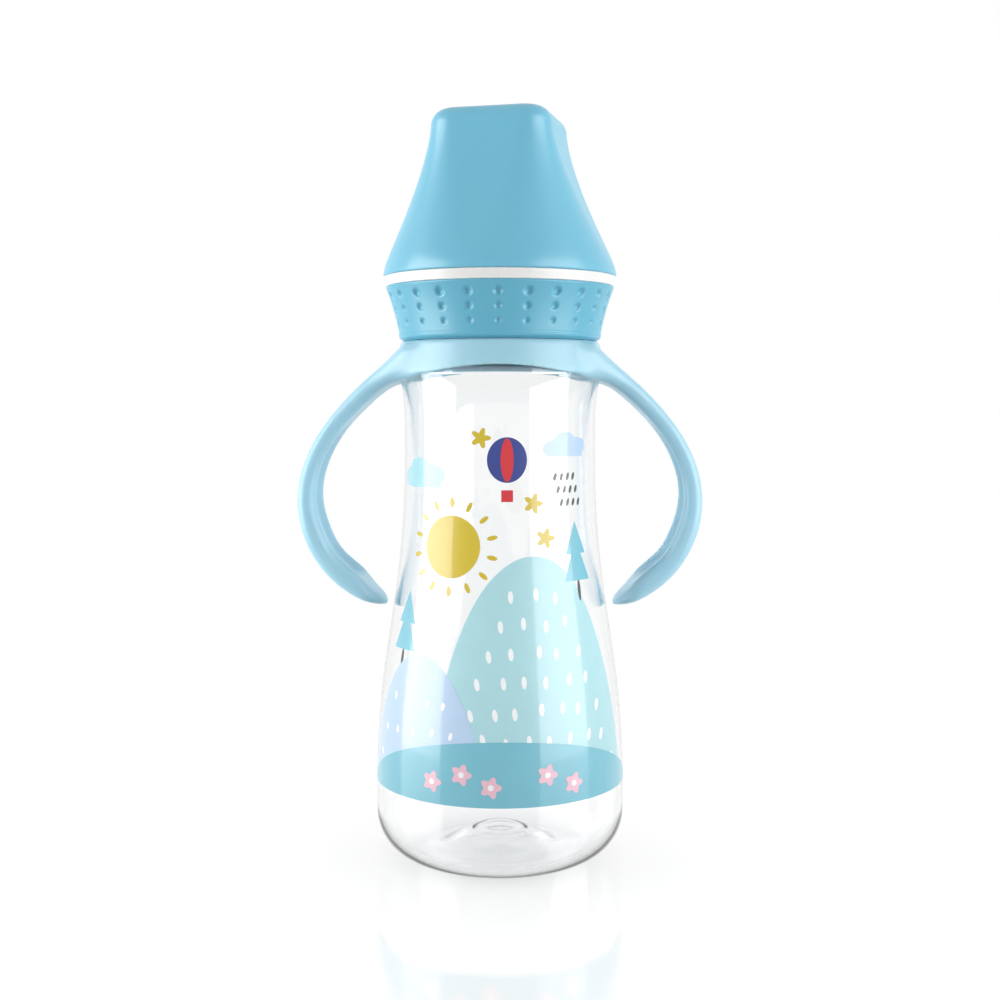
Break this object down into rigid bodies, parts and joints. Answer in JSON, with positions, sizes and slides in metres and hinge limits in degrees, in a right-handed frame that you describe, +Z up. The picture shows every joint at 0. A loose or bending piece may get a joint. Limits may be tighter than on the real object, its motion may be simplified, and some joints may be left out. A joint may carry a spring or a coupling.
{
  "type": "baby bottle",
  "caption": "Clear waisted feeding bottle with a screw collar that clamps a soft teat, a lift-off hood, and a ring with open strap handles that turns on the shoulder.",
  "frame": {"origin": "centre of the bottle's foot, on the surface that it stands on", "axes": "+Z up along the bottle's axis; the handles reach out along +X and -X; -Y is the front, with the printed picture"},
  "size_m": [0.097, 0.0606, 0.1797],
  "materials": {
    "clear_plastic": "clear, glossy, with a printed picture",
    "handle_plastic": "satin, light blue",
    "silicone": "soft, clear, slightly cloudy",
    "white_plastic": "satin, white",
    "grip_plastic": "satin, teal blue, dimpled",
    "hood_plastic": "satin, sky blue"
  },
  "bodies": {
    "bottle": {"bottle": "clear_plastic"},
    "handles": {"handle_ring": "handle_plastic"},
    "teat": {"teat": "silicone"},
    "collar": {"screw_ring": "white_plastic", "collar_grip": "grip_plastic"},
    "hood": {"hood": "hood_plastic"}
  },
  "joints": [
    {"name": "handle_turn", "type": "hinge", "parent": "bottle", "child": "handles", "pos_m": [0, 0, 0.1201], "axis": [0, 0, 1], "continuous": true},
    {"name": "teat_lift", "type": "slide", "parent": "bottle", "child": "teat", "axis": [0, 0, 1], "range_m": [0, 0.005]},
    {"name": "collar_turn", "type": "hinge", "parent": "teat", "child": "collar", "pos_m": [0, 0, 0.1377], "axis": [0, 0, 1], "range_deg": [0, 450]},
    {"name": "hood_lift", "type": "slide", "parent": "collar", "child": "hood", "axis": [0, 0, 1], "range_m": [0, 0.045]}
  ],
  "couplings": [
    {"joint": "teat_lift", "follows": "collar_turn", "m_per_rad": 0.0006366}
  ]
}
